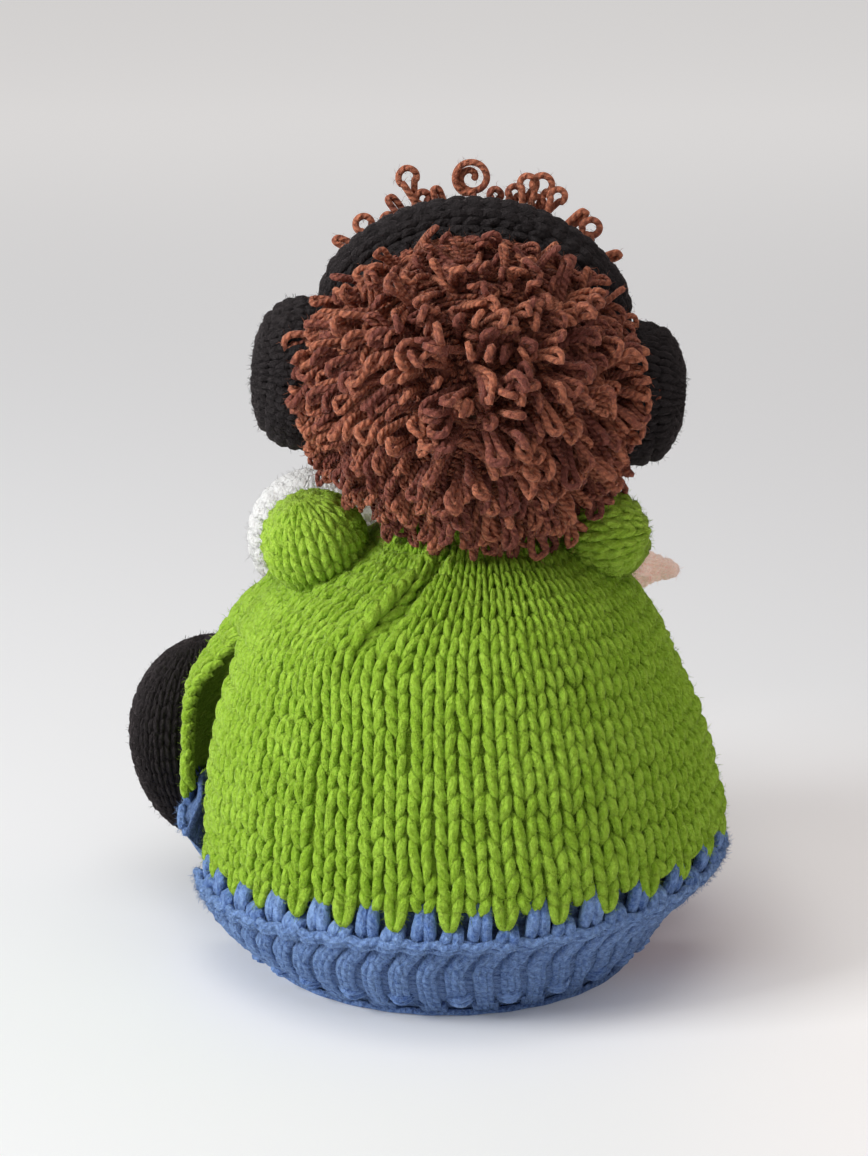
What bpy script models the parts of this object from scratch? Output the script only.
"""A knitted tea cosy made as a seated figure with curly hair, a padded headband and ear pads.

Metres, +Z up. The cosy stands on its hem at z = 0. The figure's back faces -Y and its face +Y; the handle
slit is at -X and the spout slit at +X. Sizes and tables are in millimetres and MM turns them into metres.
An angle round the body is in degrees from the middle of the back, positive towards the spout.
"""

import math
import random
from collections import namedtuple

import bmesh
import bpy
import numpy as np
from mathutils import Vector

MM = 0.001
GAP = 0.3  # between two pieces that touch
CORE_CLEAR = 0.9  # between the body and what a cut shapes to it, whose flats sink a little
SEED = 11

# The cosy's axis stands beside the origin, which is the middle of the whole object's footprint.
AXIS_X = 11.96
AXIS_Y = -3.95

# Body: two panels over one ribbed hem.
WALL, LINING_STEP = 4.0, 0.5
HEM_TOP = 36.0
SLIT_FOOT = 10.0
SLIT_HEAD = 101.0
SEAM_HALF = 0.2
SLIT_ROUND, SLIT_FOOT_ROUND = 0.75, 2.2
HANDLE_BACK, HANDLE_FRONT = 6.0, 15.0  # how far each edge of the handle slit stands from its middle
SPOUT_BACK, SPOUT_FRONT = 9.0, 22.0
PANEL_COLUMNS = 25
FRONT_CROWD = 1.5  # above 1, the front panel's columns crowd towards its flared edge by the handle
RIBS = 60
RIB_STEPS = 3
RIB_DEPTH = 1.1
RIB_FADE = 6.0
RIDGE_HEIGHT, RIDGE_OUT, RIDGE_WIDE = 31.0, 1.6, 2.0

# Head
HEAD_X, HEAD_Y, HEAD_Z = 2.0, 0.0, 176.5
HEAD_RADIUS = 43.0
HEAD_TILT = 3.5
HEAD_STEPS = (26, 15)
CAP_RADIUS = HEAD_RADIUS + 3.4
CAP_CLEAR = 0.9  # more than the flats of either ball sink below its radius
PAD_FACE = 47.2  # from the head's middle to an ear pad's inner face

Section = namedtuple("Section", "height radius shift")
BODY = (
    Section(0.0, 57.2, -4.2),
    Section(4.0, 60.2, -5.0),
    Section(9.0, 64.6, -6.0),
    Section(15.0, 70.0, -6.6),
    Section(21.0, 73.6, -6.6),
    Section(27.0, 76.2, -2.8),
    Section(32.0, 78.0, -0.2),
    Section(40.0, 78.9, 1.0),
    Section(50.0, 78.6, 1.2),
    Section(60.0, 76.8, 0.4),
    Section(78.0, 72.6, -0.4),
    Section(91.0, 67.2, -1.4),
    Section(101.0, 62.8, -2.0),
    Section(109.0, 58.0, -2.0),
    Section(115.0, 52.8, -1.2),
    Section(120.0, 46.8, -0.2),
    Section(124.5, 40.0, 0.8),
    Section(129.0, 32.5, 1.6),
    Section(133.0, 27.0, 2.0),
    Section(138.4, 25.0, 2.0),
)
# How far the front panel stands out beside the handle.
Stand = namedtuple("Stand", "height out")
FLARE = (
    Stand(0.0, 0.0),
    Stand(14.0, 0.4),
    Stand(23.0, 2.4),
    Stand(31.0, 9.6),
    Stand(40.0, 11.0),
    Stand(60.0, 11.6),
    Stand(80.0, 12.6),
    Stand(98.0, 8.8),
    Stand(110.0, 6.0),
    Stand(124.0, 0.0),
    Stand(139.0, 0.0),
)
FLARE_ANGLE, FLARE_BACK, FLARE_FRONT = -104.0, 11.0, 30.0
LIFT, LIFT_RISE, LIFT_FALL = 13.0, (4.0, HEM_TOP), (40.0, 104.0)
SLOPE, SLOPE_RISE, SLOPE_FALL = 6.5, (0.0, 24.0), (50.0, 110.0)
# The fold on the back: where it is, how far it leans per millimetre of height, and how it stands out.
FOLD_ANGLE, FOLD_SLANT, FOLD_HEIGHT, FOLD_REACH = -26.5, 0.55, 121.0, 12.0
FOLD_RIDGE, FOLD_RIDGE_WIDE, FOLD_APART = 2.6, 5.0, 8.0
FOLD_CREASE, FOLD_CREASE_WIDE = 1.8, 3.6
PANEL_HEIGHTS = (36.6, 46, 56, 66, 76, 85, 93, 101, 107, 112, 117, 121.5, 125.5, 129.5, 133.5, 138.2)
HEM_HEIGHTS = (0.0, 3.0, 12.0, 22.0, 28.8, 31.0, 33.2, 36.0)
HEM_LINING_HEIGHTS = (0.0, 9.0, 21.0, 36.0)

# A stuffed tube's middle line and how thick it is there.
Ring = namedtuple("Ring", "x y z radius")
LEFT_SLEEVE = (
    Ring(-42.9, -23.4, 131.5, 1.5),
    Ring(-42.9, -22.4, 131.5, 7.5),
    Ring(-43.1, -18.3, 131.2, 12.3),
    Ring(-43.4, -10.0, 130.3, 15.2),
    Ring(-44.8, 0.0, 128.6, 15.0),
    Ring(-47.0, 11.0, 125.6, 13.4),
    Ring(-48.8, 22.0, 120.6, 11.6),
    Ring(-49.4, 31.0, 114.4, 10.4),
    Ring(-50.2, 37.5, 108.6, 9.8),
    Ring(-50.8, 40.6, 105.6, 9.4),
)
RIGHT_SLEEVE = (
    Ring(41.0, -19.6, 133.2, 1.5),
    Ring(41.0, -18.7, 133.2, 6.6),
    Ring(41.1, -15.0, 133.1, 10.6),
    Ring(41.4, -8.0, 132.6, 13.0),
    Ring(42.4, 1.0, 130.4, 13.0),
    Ring(44.2, 12.0, 126.2, 12.2),
    Ring(45.6, 22.0, 120.8, 11.2),
    Ring(46.8, 31.0, 114.8, 10.2),
    Ring(47.6, 37.5, 110.0, 9.6),
    Ring(48.6, 41.4, 107.6, 9.2),
)
LEFT_HAND = (
    Ring(-51.0, 41.5, 104.7, 1.5),
    Ring(-51.1, 41.9, 104.3, 6.4),
    Ring(-51.6, 44.0, 102.3, 7.6),
    Ring(-52.4, 48.5, 98.8, 8.8),
    Ring(-52.6, 55.0, 94.6, 8.6),
    Ring(-51.6, 62.0, 91.6, 7.8),
    Ring(-50.0, 68.5, 90.2, 5.6),
    Ring(-49.4, 71.0, 89.9, 1.5),
)
RIGHT_HAND = (
    Ring(49.0, 42.7, 106.9, 1.5),
    Ring(49.2, 43.1, 106.7, 6.4),
    Ring(50.4, 46.2, 106.2, 7.4),
    Ring(54.0, 49.0, 106.2, 7.8),
    Ring(59.0, 49.6, 106.8, 6.4),
    Ring(63.2, 48.6, 106.9, 4.4),
    Ring(66.8, 47.4, 106.6, 3.2),
    Ring(68.6, 46.8, 106.4, 1.2),
)
TUBE_SIDES = 14
HAND_FLAT = 0.8
SLEEVE_CLEAR = 0.5

# An ear pad's outline, turned about the line through both ears.
Turn = namedtuple("Turn", "out radius")
PAD = (
    Turn(0.0, 3.0),
    Turn(-1.2, 10.5),
    Turn(-3.6, 17.5),
    Turn(-3.0, 20.6),
    Turn(0.6, 22.0),
    Turn(5.0, 21.8),
    Turn(9.5, 20.2),
    Turn(13.2, 16.4),
    Turn(15.6, 10.6),
    Turn(16.5, 4.0),
)
PAD_INNER_ROWS = 4  # the first rows face the head
PAD_SIDES = 24
RIGHT_PAD_SHARE = 0.94  # the right pad is the smaller one

# The headband, from its middle on top of the head to its ends under the pads.
Strap = namedtuple("Strap", "angle thick wide")
STRAP = (
    Strap(0.0, 10.6, 23.0),
    Strap(36.0, 10.8, 22.5),
    Strap(52.0, 10.4, 21.5),
    Strap(61.0, 8.4, 20.0),
    Strap(68.0, 4.6, 18.0),
    Strap(74.0, 3.2, 16.0),
    Strap(84.0, 3.0, 14.0),
)
STRAP_Y = 2.5
STRAP_STEPS = 28
# The band's section: shares of its half width and of its thickness.
STRAP_SECTION = (
    (-1.0, 0.06),
    (-0.96, 0.5),
    (-0.76, 0.84),
    (-0.4, 0.98),
    (0.0, 1.0),
    (0.4, 0.98),
    (0.76, 0.84),
    (0.96, 0.5),
    (1.0, 0.06),
    (0.5, 0.0),
    (0.0, 0.0),
    (-0.5, 0.0),
)

# Hair: a cap over the back of the head. An angle there is from the line that leaves the head at the back.
Reach = namedtuple("Reach", "around off")
CAP_REACH = (
    Reach(0.0, 77.0),
    Reach(55.0, 77.5),
    Reach(80.0, 79.0),
    Reach(100.0, 82.0),
    Reach(120.0, 83.0),
    Reach(138.0, 72.0),
    Reach(155.0, 59.0),
    Reach(180.0, 51.0),
)
CAP_POLE = 0.07
PAD_SHADE = (48.0, 126.0)  # no locks grow between these turns, under an ear pad
CAP_RINGS = 7
CAP_COLUMNS = 30
LOCK_SHARE = 0.36  # how wide a lock's root is, as a share of its cell
LOCK_LONG, LOCK_SPREAD = 10.0, 2.0
LOCK_DROOP = 0.5
LOCK_STEPS, LOCK_TIP = (0.4, 0.35, 0.25), 0.6  # each step's share of the length, and the tip's width
SIDE_LONG, FOOT_LONG = 4.0, 3.5  # how much longer the locks are beside the pads and along the cap's foot

# Curls that stand before the headband: angle over the head, length, width, and lean towards the spout.
Curl = namedtuple("Curl", "angle long wide lean")
CURLS = (
    Curl(-41.5, 20.0, 7.0, -1.5),
    Curl(-33.0, 19.5, 7.0, 1.5),
    Curl(-21.5, 24.5, 8.0, 0.0),
    Curl(-12.5, 16.5, 6.0, -1.0),
    Curl(-3.5, 24.0, 12.0, 0.0),
    Curl(6.0, 16.5, 6.0, 1.0),
    Curl(13.0, 23.0, 8.0, -1.0),
    Curl(20.0, 21.0, 7.0, 2.0),
    Curl(27.5, 19.5, 6.0, -1.0),
    Curl(34.5, 20.0, 7.5, 0.5),
    Curl(43.0, 18.0, 6.0, 1.5),
)
CURL_Y = 19.0
CURL_YARN = 2.4
CURL_STEPS = 9
CURL_ARC = 270.0
STRIP_CELLS = 58
STRIP_END = 58.0
STRIP_THICK = 2.6
STRIP_BACK, STRIP_FRONT = 14.8, 27.0

WHITE_CENTRE, WHITE_RADIUS = (-46.8, 66.0, 113.0), 21.2
BLACK_CENTRE, BLACK_TURN = (-84.0, 54.0, 49.5), 58.0
BLACK_RADII = (30.0, 15.5, 32.0)
BLACK_NARROWING = 0.20

NOSE_PLACE, NOSE_RADII = (0.0, 44.0, -7.0), (5.2, 4.6, 4.6)
EYE_X, EYE_Z, EYE_RADIUS = 13.5, 4.0, 3.6

Finish = namedtuple("Finish", "colour roughness")
FINISHES = {
    "green_yarn": Finish((0.27, 0.50, 0.03), 0.9),
    "blue_yarn": Finish((0.13, 0.23, 0.58), 0.9),
    "brown_yarn": Finish((0.21, 0.07, 0.03), 0.9),
    "black_yarn": Finish((0.008, 0.008, 0.010), 0.9),
    "white_yarn": Finish((0.80, 0.77, 0.76), 0.9),
    "pink_yarn": Finish((0.78, 0.52, 0.42), 0.9),
}


def clear_scene():
    for thing in list(bpy.data.objects):
        bpy.data.objects.remove(thing)


def finish(name):
    """The material of this name, made on first use."""
    if name in bpy.data.materials:
        return bpy.data.materials[name]
    material = bpy.data.materials.new(name)
    material.use_nodes = True
    shader = material.node_tree.nodes["Principled BSDF"]
    shader.inputs["Base Color"].default_value = (*FINISHES[name].colour, 1.0)
    shader.inputs["Roughness"].default_value = FINISHES[name].roughness
    shader.inputs["Metallic"].default_value = 0.0
    return material


def empty(name, place, turn=0.0, parent=None):
    """A point that carries pieces, at a place in millimetres and turned about Y in degrees."""
    point = bpy.data.objects.new(name, None)
    bpy.context.collection.objects.link(point)
    point.location = Vector(place) * MM
    point.rotation_euler = (0.0, math.radians(turn), 0.0)
    point.parent = parent
    return point


def piece(name, mesh_data, yarn, parent):
    """An object from a bmesh in millimetres, with its faces pointing out."""
    bmesh.ops.recalc_face_normals(mesh_data, faces=mesh_data.faces)
    bmesh.ops.scale(mesh_data, vec=(MM, MM, MM), verts=mesh_data.verts)
    mesh = bpy.data.meshes.new(name)
    mesh_data.to_mesh(mesh)
    mesh_data.free()
    made = bpy.data.objects.new(name, mesh)
    bpy.context.collection.objects.link(made)
    made.parent = parent
    mesh.materials.append(finish(yarn))
    mesh.shade_smooth()
    return made


def cutter(made):
    made.hide_render = True
    made.display_type = "WIRE"
    return made


def cut(made, by):
    """Takes one solid away from another, as a live modifier."""
    change = made.modifiers.new("cut_by_" + by.name, "BOOLEAN")
    change.operation = "DIFFERENCE"
    change.solver = "EXACT"
    change.object = by


def reading(rows, column):
    """A smooth function through one column of a table, read along the table's first column."""
    places = np.array([row[0] for row in rows], float)
    values = np.array([getattr(row, column) for row in rows], float)
    slopes = np.gradient(values, places)

    def at(where):
        where = min(max(where, places[0]), places[-1])
        k = min(int(np.searchsorted(places, where, side="right")) - 1, len(places) - 2)
        step = places[k + 1] - places[k]
        t = (where - places[k]) / step
        return float(
            values[k] * (2 * t**3 - 3 * t**2 + 1)
            + slopes[k] * step * (t**3 - 2 * t**2 + t)
            + values[k + 1] * (3 * t**2 - 2 * t**3)
            + slopes[k + 1] * step * (t**3 - t**2)
        )

    return at


body_radius = reading(BODY, "radius")
body_shift = reading(BODY, "shift")
flare_out = reading(FLARE, "out")
strap_thick = reading(STRAP, "thick")
strap_wide = reading(STRAP, "wide")
cap_reach = reading(CAP_REACH, "off")


def bump(where, middle, width):
    return math.exp(-(((where - middle) / width) ** 2))


def ramp(where, start, end):
    """From 0 at start to 1 at end, smoothly."""
    t = min(max((where - start) / (end - start), 0.0), 1.0)
    return t * t * (3 - 2 * t)


def pulled_fold(angle, height):
    """The fold on the back, from the neck down to the left: a ridge with a crease on its right."""
    crease = FOLD_ANGLE + FOLD_SLANT * (height - FOLD_HEIGHT)
    ridge_out = FOLD_RIDGE * bump(angle, crease - FOLD_APART, FOLD_RIDGE_WIDE)
    crease_in = FOLD_CREASE * bump(angle, crease, FOLD_CREASE_WIDE)
    return bump(height, FOLD_HEIGHT, FOLD_REACH) * (ridge_out - crease_in)


def beside_handle(angle):
    """1 on the front panel beside the handle slit, falling off fast towards the back."""
    angle = angle - 360.0 if angle > 90.0 else angle
    return bump(angle, FLARE_ANGLE, FLARE_BACK if angle > FLARE_ANGLE else FLARE_FRONT)


def lift(angle, height):
    """How far the front panel rides up beside the handle."""
    reach = ramp(height, *LIFT_RISE) * (1.0 - ramp(height, *LIFT_FALL))
    return LIFT * reach * beside_handle(angle)


def slope(angle, height):
    """How far the rows of the knitting are pulled down beside the handle and up beside the spout."""
    reach = ramp(height, *SLOPE_RISE) * (1.0 - ramp(height, *SLOPE_FALL))
    turn = math.sin(math.radians(angle))
    return SLOPE * reach * turn * abs(turn)


def skin(angle, height, out=0.0):
    """The body's outer surface, or a surface outside it."""
    level = height + slope(angle, height)
    radius = body_radius(level) + pulled_fold(angle, level) + flare_out(height) * beside_handle(angle) + out
    turn = math.radians(angle)
    return Vector(
        (
            body_shift(level) + radius * math.sin(turn),
            -radius * math.cos(turn),
            level + lift(angle, height),
        )
    )


def lining(angle, height):
    """The body's inner surface, a wall's thickness under the outer one."""
    step = LINING_STEP
    across = skin(angle + step, height) - skin(angle - step, height)
    up = skin(angle, height + step) - skin(angle, height - step)
    inward = up.cross(across).normalized()
    inner = skin(angle, height) + inward * WALL
    if height <= HEM_HEIGHTS[1]:
        inner.z = height
    return inner


def slit_half(height, width):
    """Half the width of a slit whose edge stands this far from its middle where it is widest."""
    share = (height - SLIT_FOOT) / (SLIT_HEAD - SLIT_FOOT)
    if share <= 0.0 or share >= 1.0:
        return SEAM_HALF
    return SEAM_HALF + width * math.sin(math.pi * share) ** SLIT_ROUND


def edge_angle(height, width):
    return math.degrees(slit_half(height, width) / body_radius(height))


def shell(outer, inner, closed, pole=False):
    """A wall between two grids of points, rows by columns.

    A closed one joins its last column to its first. With pole, each side's first row is filled by one face
    instead of being joined to the other side's.
    """
    work = bmesh.new()
    sides = [[[work.verts.new(p) for p in row] for row in grid] for grid in (outer, inner)]
    columns = len(outer[0])
    around = columns if closed else columns - 1
    for side in sides:
        for low, high in zip(side, side[1:]):
            for j in range(around):
                k = (j + 1) % columns
                work.faces.new((low[j], low[k], high[k], high[j]))
        if pole:
            work.faces.new(side[0])
    out, back = sides
    for i in (-1,) if pole else (0, -1):
        for j in range(around):
            k = (j + 1) % columns
            work.faces.new((out[i][j], out[i][k], back[i][k], back[i][j]))
    if not closed:
        for j in (0, columns - 1):
            for i in range(len(outer) - 1):
                work.faces.new((out[i][j], out[i + 1][j], back[i + 1][j], back[i][j]))
    return work


def panel(name, front, axis):
    """One half of the body, from the hem to the neck, whose side edges follow the two slits."""
    outer, inner = [], []
    for height in PANEL_HEIGHTS:
        if front:
            start = 90.0 + edge_angle(height, SPOUT_FRONT)
            end = 270.0 - edge_angle(height, HANDLE_FRONT)
        else:
            start = -90.0 + edge_angle(height, HANDLE_BACK)
            end = 90.0 - edge_angle(height, SPOUT_BACK)
        crowd = FRONT_CROWD if front else 1.0
        shares = [1.0 - (1.0 - k / PANEL_COLUMNS) ** crowd for k in range(PANEL_COLUMNS + 1)]
        angles = [start + (end - start) * share for share in shares]
        angles = [a - 360.0 if a > 180.0 else a for a in angles]
        outer.append([skin(a, height) for a in angles])
        inner.append([lining(a, height) for a in angles])
    return piece(name, shell(outer, inner, closed=False), "green_yarn", axis)


def hem_top(angle):
    """The height of the hem's top edge, which dips where a slit runs down into it."""
    for middle, back, front in ((-90.0, HANDLE_BACK, HANDLE_FRONT), (90.0, SPOUT_BACK, SPOUT_FRONT)):
        towards_front = (angle - middle) * (1 if middle > 0 else -1)
        width = front if towards_front > 0 else back
        reach = edge_angle(HEM_TOP, width)
        if abs(towards_front) < reach:
            share = abs(towards_front) / reach
            return SLIT_FOOT + (HEM_TOP - SLIT_FOOT) * share**SLIT_FOOT_ROUND
    return HEM_TOP


def ridge(height):
    """How far the hem's one raised line stands out at this height."""
    return RIDGE_OUT * bump(height, RIDGE_HEIGHT, RIDGE_WIDE)


def hem_point(angle, height):
    """The hem's ribbed outer surface: wide ribs and narrow furrows under and over one raised line."""
    fade = ramp(height, 0.0, RIB_FADE) * (1.0 - bump(height, RIDGE_HEIGHT, RIDGE_WIDE))
    ribs = -RIB_DEPTH * (0.5 + 0.5 * math.cos(math.radians(angle) * RIBS)) * fade
    return skin(angle, height, ribs + ridge(height))


def hem(axis):
    columns = RIBS * RIB_STEPS
    angles = [360.0 * k / columns - 180.0 for k in range(columns)]
    tops = [hem_top(a) / HEM_TOP for a in angles]
    outer = [[hem_point(a, height * t) for a, t in zip(angles, tops)] for height in HEM_HEIGHTS]
    inner = [[lining(a, height * t) for a, t in zip(angles, tops)] for height in HEM_LINING_HEIGHTS]
    return piece("hem", shell(outer, inner, closed=True), "blue_yarn", axis)


def body_core(axis):
    """The whole space inside the body's outer surface, which cuts the pieces that rest on it."""
    heights = HEM_HEIGHTS[:-1] + PANEL_HEIGHTS
    columns = 2 * PANEL_COLUMNS
    work = bmesh.new()
    rows = []
    for height in heights:
        angles = [360.0 * k / columns - 180.0 for k in range(columns)]
        out = CORE_CLEAR + ridge(height)
        rows.append([work.verts.new(skin(a, height, out)) for a in angles])
    for low, high in zip(rows, rows[1:]):
        for k in range(columns):
            work.faces.new((low[k], low[k - 1], high[k - 1], high[k]))
    work.faces.new(rows[0])
    work.faces.new(rows[-1])
    return cutter(piece("body_core", work, "green_yarn", axis))


def tube(name, rings, yarn, parent, flat=1.0, room=0.0):
    """A stuffed closed tube along a table of rings.

    flat squeezes its rings up and down. room makes it that much bigger all over.
    """
    work = bmesh.new()
    places = [Vector(r[:3]) for r in rings]
    places[0] += (places[0] - places[1]).normalized() * room
    places[-1] += (places[-1] - places[-2]).normalized() * room
    side, loops = Vector((1.0, 0.0, 0.0)), []
    for k, ring in enumerate(rings):
        along = (places[min(k + 1, len(rings) - 1)] - places[max(k - 1, 0)]).normalized()
        side = (side - along * side.dot(along)).normalized()
        rise = along.cross(side)
        loop = []
        for j in range(TUBE_SIDES):
            turn = 2 * math.pi * j / TUBE_SIDES
            spoke = side * math.cos(turn) + rise * math.sin(turn) * flat
            loop.append(work.verts.new(places[k] + spoke * (ring.radius + room)))
        loops.append(loop)
    for low, high in zip(loops, loops[1:]):
        for j in range(TUBE_SIDES):
            work.faces.new((low[j - 1], low[j], high[j], high[j - 1]))
    work.faces.new(loops[0])
    work.faces.new(loops[-1])
    return piece(name, work, yarn, parent)


def ball(name, radii, place, yarn, parent, turn=0.0, narrowing=0.0, steps=(18, 12)):
    """A stuffed ball. narrowing makes its foot narrower than its top."""
    work = bmesh.new()
    bmesh.ops.create_uvsphere(work, u_segments=steps[0], v_segments=steps[1], radius=1.0)
    for vert in work.verts:
        width = 1.0 + narrowing * vert.co.z
        vert.co = Vector((vert.co.x * radii[0] * width, vert.co.y * radii[1] * width, vert.co.z * radii[2]))
    made = piece(name, work, yarn, parent)
    made.location = Vector(place) * MM
    made.rotation_euler = (0.0, 0.0, math.radians(turn))
    return made


def ear_pad(name, side, head, room=0.0):
    """A padded dome over one ear, -1 on the handle's side. room makes it that much bigger all over."""
    work = bmesh.new()
    share = RIGHT_PAD_SHARE if side > 0 else 1.0
    turns = [2 * math.pi * k / PAD_SIDES for k in range(PAD_SIDES)]
    loops = []
    for k, row in enumerate(PAD):
        out = side * (PAD_FACE + row.out * share + (-room if k < PAD_INNER_ROWS else room))
        radius = row.radius * share + room
        loops.append([work.verts.new((out, radius * math.cos(t), radius * math.sin(t))) for t in turns])
    for low, high in zip(loops, loops[1:]):
        for k in range(PAD_SIDES):
            work.faces.new((low[k - 1], low[k], high[k], high[k - 1]))
    work.faces.new(loops[0])
    work.faces.new(loops[-1])
    return piece(name, work, "black_yarn", head)


def over_head(angle, radius, y):
    """A point over the head, at an angle from its top towards the spout."""
    turn = math.radians(angle)
    return Vector((radius * math.sin(turn), y, radius * math.cos(turn)))


def on_head(y, clear):
    """The radius, over the head, of a surface this far off the head and y before its middle."""
    return math.sqrt((HEAD_RADIUS + clear) ** 2 - y * y)


def headband(head):
    """A padded band from ear to ear, flat on the head and rounded outside."""
    work = bmesh.new()
    loops = []
    for step in range(STRAP_STEPS + 1):
        angle = STRAP[-1].angle * (2 * step / STRAP_STEPS - 1)
        thick, wide = strap_thick(abs(angle)), strap_wide(abs(angle))
        loop = []
        for across, rise in STRAP_SECTION:
            y = STRAP_Y + across * wide / 2
            loop.append(work.verts.new(over_head(angle, on_head(y, 2 * GAP) + rise * thick, y)))
        loops.append(loop)
    for low, high in zip(loops, loops[1:]):
        for j in range(len(STRAP_SECTION)):
            work.faces.new((low[j - 1], low[j], high[j], high[j - 1]))
    work.faces.new(loops[0])
    work.faces.new(loops[-1])
    return piece("headband", work, "black_yarn", head)


def cap_point(off, around, radius):
    """A point on a ball about the head's middle, off degrees from the back of the head."""
    off, around = math.radians(off), math.radians(around)
    return Vector(
        (
            radius * math.sin(off) * math.sin(around),
            -radius * math.cos(off),
            radius * math.sin(off) * math.cos(around),
        )
    )


def grow_lock(work, face, long, droop):
    """Draws a lock of hair out of one face of the cap, in three steps that bend down."""
    inset = (1 - LOCK_SHARE) / 2 * math.sqrt(face.calc_area())
    bmesh.ops.inset_individual(work, faces=[face], thickness=inset)
    outward = face.calc_center_median().normalized()
    for step, share in enumerate(LOCK_STEPS):
        face = bmesh.ops.extrude_discrete_faces(work, faces=[face])["faces"][0]
        way = (outward + Vector((0.0, 0.0, -droop * step / 2))).normalized()
        bmesh.ops.translate(work, verts=face.verts, vec=way * long * share)
    middle = face.calc_center_median()
    for vert in face.verts:
        vert.co = middle + (vert.co - middle) * LOCK_TIP


def hair_cap(head):
    """The cap over the back of the head, with locks all over it, longer along its foot."""
    rng = random.Random(SEED)
    turns = [360.0 * k / CAP_COLUMNS for k in range(CAP_COLUMNS)]
    reaches = [cap_reach(min(t, 360.0 - t)) for t in turns]
    shares = [CAP_POLE + (1 - CAP_POLE) * ring / CAP_RINGS for ring in range(CAP_RINGS + 1)]
    outer, inner = (
        [[cap_point(reach * share, t, radius) for t, reach in zip(turns, reaches)] for share in shares]
        for radius in (CAP_RADIUS, HEAD_RADIUS + CAP_CLEAR)
    )
    work = shell(outer, inner, closed=True, pole=True)
    bmesh.ops.recalc_face_normals(work, faces=work.faces)
    work.faces.ensure_lookup_table()
    for ring in range(1, CAP_RINGS):
        every = 3 if ring == 1 else 2
        for column in range(CAP_COLUMNS):
            turn = turns[column] + 180.0 / CAP_COLUMNS
            turn = min(turn, 360.0 - turn)
            beside = PAD_SHADE[0] < turn < PAD_SHADE[1]
            if (column + ring) % every or (beside and ring >= CAP_RINGS - 2):
                continue
            foot = max(-math.cos(math.radians(turn)), 0.0)
            long = LOCK_LONG + rng.uniform(-LOCK_SPREAD, LOCK_SPREAD)
            if beside and ring == CAP_RINGS - 3:
                long += SIDE_LONG
            if ring == CAP_RINGS - 1:
                long += FOOT_LONG * foot
            grow_lock(work, work.faces[ring * CAP_COLUMNS + column], long, LOCK_DROOP * (1 + foot))
            work.faces.ensure_lookup_table()
    return piece("hair_cap", work, "brown_yarn", head)


def front_curls(head):
    """A strip along the hairline with standing loops of yarn whose roots are part of it."""
    work = bmesh.new()
    half = CURL_YARN / 2
    section = (
        (STRIP_BACK, 0.0),
        (CURL_Y - half, STRIP_THICK),
        (CURL_Y + half, STRIP_THICK),
        (STRIP_FRONT, 0.9),
        (STRIP_FRONT, 0.0),
        (CURL_Y, 0.0),
    )
    rings = []
    for k in range(STRIP_CELLS + 1):
        angle = STRIP_END * (2 * k / STRIP_CELLS - 1)
        points = [over_head(angle, on_head(y, 2 * GAP) + rise, y) for y, rise in section]
        rings.append([work.verts.new(p) for p in points])
    tops = []
    for low, high in zip(rings, rings[1:]):
        quads = [
            work.faces.new((low[j], low[j - 1], high[j - 1], high[j])) for j in range(len(section))
        ]
        tops.append(quads[2])
    work.faces.new(rings[0])
    work.faces.new(rings[-1])
    for curl in CURLS:
        first = round((curl.angle + STRIP_END) / (2 * STRIP_END) * STRIP_CELLS) - 2
        loop_between(work, rings[first : first + 4], (tops[first], tops[first + 2]), curl)
    return piece("front_curls", work, "brown_yarn", head)


def loop_between(work, rings, roots, curl):
    """Replaces two top faces of the strip by one loop of yarn that rises from one to the other."""
    bmesh.ops.delete(work, geom=list(roots), context="FACES_ONLY")
    start = [rings[0][1], rings[0][2], rings[1][2], rings[1][1]]
    end = [rings[3][1], rings[3][2], rings[2][2], rings[2][1]]
    foot = sum((v.co for v in start + end), Vector()) / 8
    up = over_head(curl.angle, 1.0, 0.0)
    along = over_head(curl.angle + 90.0, 1.0, 0.0)
    bend = (curl.wide - CURL_YARN) / 2
    centre = foot + up * (curl.long - curl.wide / 2) + along * curl.lean
    previous = start
    for step in range(CURL_STEPS):
        turn = math.radians(CURL_ARC * (step / (CURL_STEPS - 1) - 0.5))
        spoke = along * math.sin(turn) + up * math.cos(turn)
        ring = []
        for out, side in ((1, -1), (1, 1), (-1, 1), (-1, -1)):
            offset = spoke * (bend + out * CURL_YARN / 2)
            ring.append(work.verts.new(centre + offset + Vector((0.0, side * CURL_YARN / 2, 0.0))))
        join(work, previous, ring)
        previous = ring
    join(work, previous, end)


def join(work, low, high):
    """Four side faces between two rings of four."""
    for j in range(4):
        work.faces.new((low[j - 1], low[j], high[j], high[j - 1]))


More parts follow.
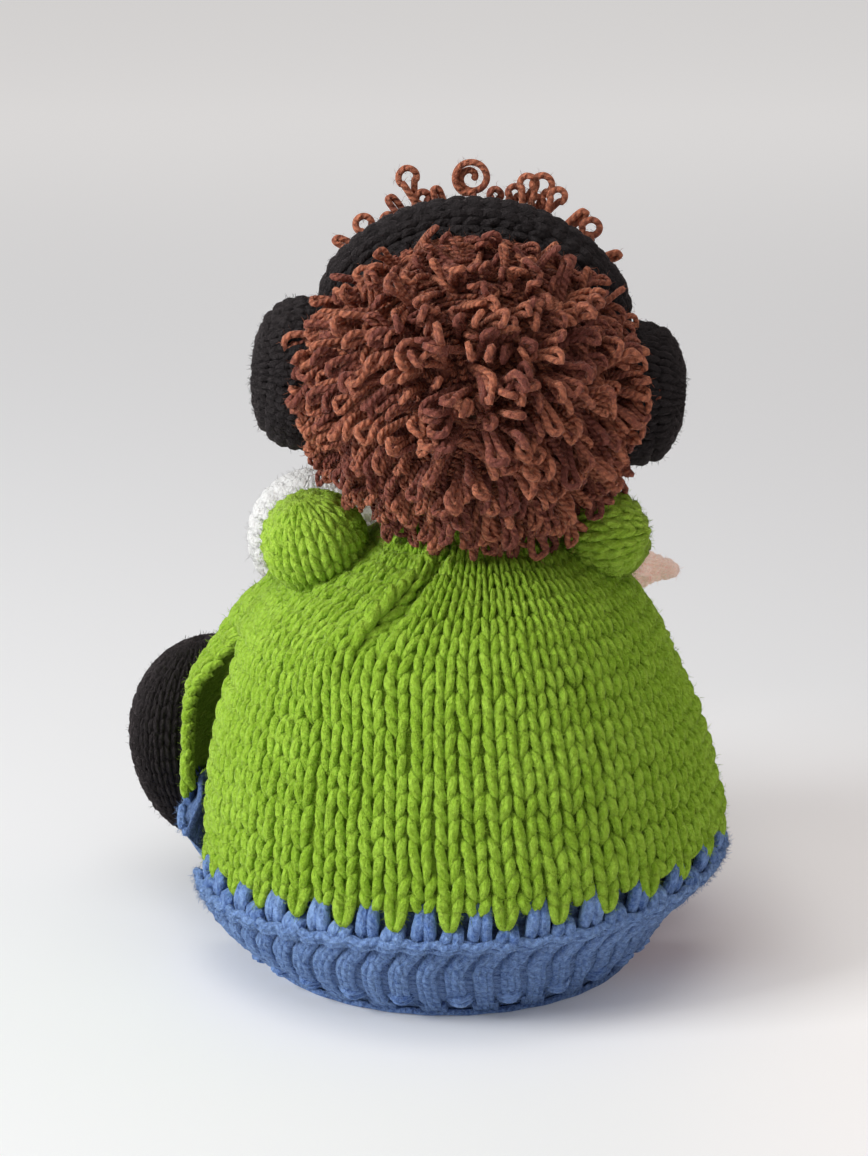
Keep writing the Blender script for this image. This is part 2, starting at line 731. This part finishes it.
def main():
    clear_scene()
    axis = empty("cosy_axis", (AXIS_X, AXIS_Y, 0.0))
    head = empty("head_centre", (HEAD_X, HEAD_Y, HEAD_Z), HEAD_TILT, axis)

    hem(axis)
    panel("back_panel", False, axis)
    panel("front_panel", True, axis)
    core = body_core(axis)

    white = ball("white_ball", (WHITE_RADIUS,) * 3, WHITE_CENTRE, "white_yarn", axis)
    white_room = cutter(ball("white_room", (WHITE_RADIUS + 2 * GAP,) * 3, WHITE_CENTRE, "white_yarn", axis))
    black = ball("black_pad", BLACK_RADII, BLACK_CENTRE, "black_yarn", axis, BLACK_TURN, BLACK_NARROWING)
    left_sleeve = tube("sleeve_left", LEFT_SLEEVE, "green_yarn", axis)
    right_sleeve = tube("sleeve_right", RIGHT_SLEEVE, "green_yarn", axis)
    rooms = [
        cutter(tube("sleeve_room_" + side, rings, "green_yarn", axis, room=SLEEVE_CLEAR))
        for side, rings in (("left", LEFT_SLEEVE), ("right", RIGHT_SLEEVE))
    ]
    left_hand = tube("hand_left", LEFT_HAND, "pink_yarn", axis, flat=HAND_FLAT)
    right_hand = tube("hand_right", RIGHT_HAND, "pink_yarn", axis, flat=HAND_FLAT)
    for made in (white, black, left_hand, right_hand, left_sleeve, right_sleeve):
        cut(made, core)
    for made in (left_hand, left_sleeve):
        cut(made, white_room)
    cut(right_hand, rooms[1])

    ball("head", (HEAD_RADIUS,) * 3, (0.0, 0.0, 0.0), "pink_yarn", head, steps=HEAD_STEPS)
    room = (HEAD_RADIUS + GAP,) * 3
    head_room = cutter(ball("head_room", room, (0.0, 0.0, 0.0), "pink_yarn", head, steps=HEAD_STEPS))
    nose = ball("nose", NOSE_RADII, NOSE_PLACE, "pink_yarn", head, steps=(12, 8))
    cut(nose, head_room)
    for name, side in (("eye_left", -1), ("eye_right", 1)):
        reach = math.sqrt(HEAD_RADIUS**2 - EYE_X**2 - EYE_Z**2)
        eye = ball(name, (EYE_RADIUS,) * 3, (side * EYE_X, reach, EYE_Z), "black_yarn", head, steps=(10, 8))
        cut(eye, head_room)
    hair = hair_cap(head)
    for room in rooms:
        cut(hair, room)
    front_curls(head)
    band = headband(head)
    for name, side in (("left", -1), ("right", 1)):
        ear_pad("ear_pad_" + name, side, head)
        cut(band, cutter(ear_pad("pad_room_" + name, side, head, 1.5 * GAP)))


main()
